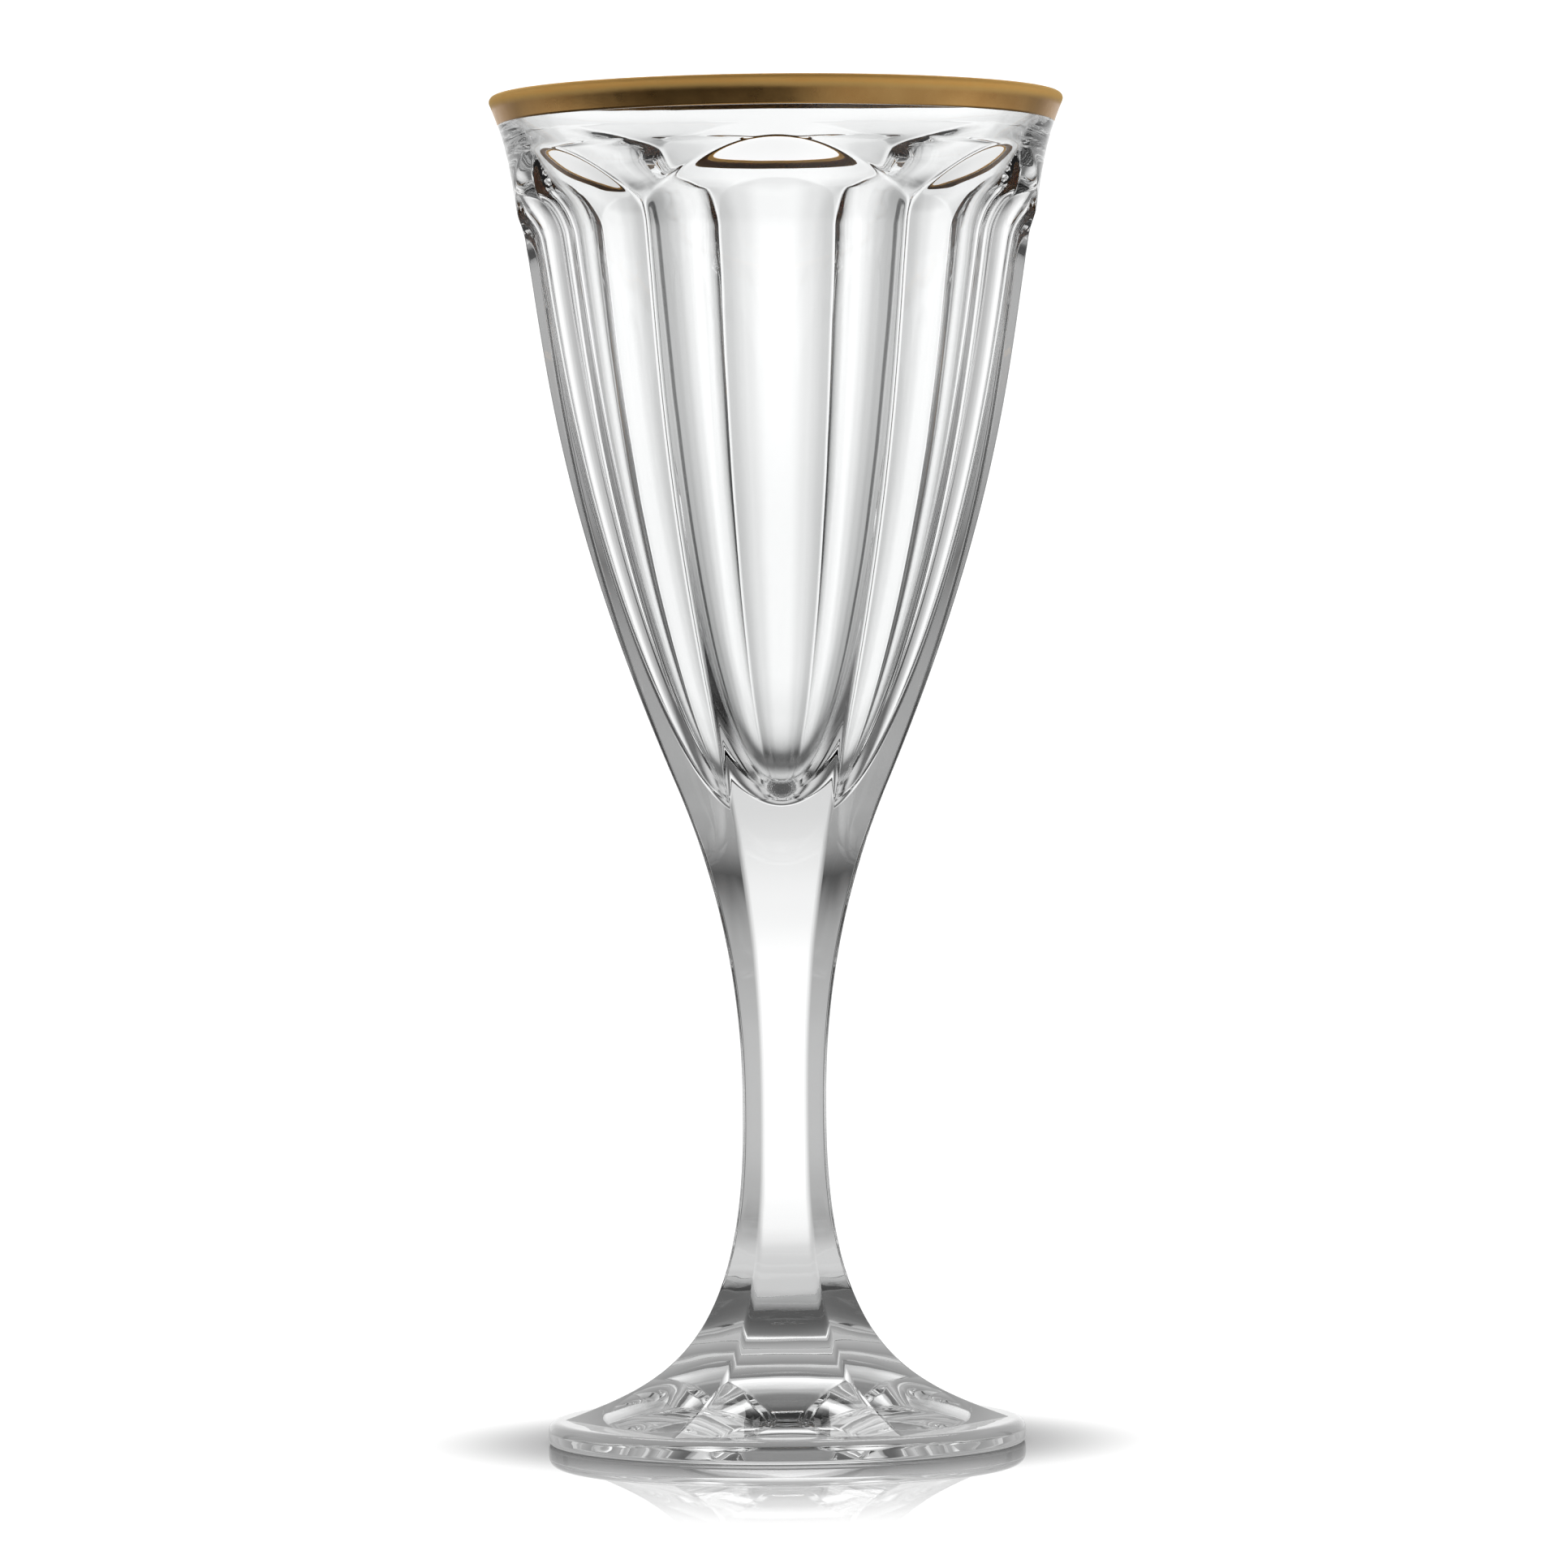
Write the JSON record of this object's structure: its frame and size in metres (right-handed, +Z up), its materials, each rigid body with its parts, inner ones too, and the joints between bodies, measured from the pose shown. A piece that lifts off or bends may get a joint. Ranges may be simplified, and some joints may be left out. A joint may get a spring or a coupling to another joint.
{
  "type": "champagne flute",
  "caption": "Clear stemmed drinking glass with flat panels from arches under a gilded flared rim down the bowl and stem and out over a round foot.",
  "frame": {"origin": "centre of the foot on the resting plane", "axes": "+Z up along the stem to the rim, one flat panel facing -Y, ridges of the stem and bowl on +X and -X"},
  "size_m": [0.0852, 0.0852, 0.2],
  "materials": {
    "crystal_glass": "clear, fire-polished, with faint moulding waves",
    "gold_band": "satin burnished gold, thin and fired on"
  },
  "bodies": {
    "root": {"bowl": "crystal_glass", "stem": "crystal_glass", "foot": "crystal_glass", "gold_rim": "gold_band"}
  },
  "joints": []
}
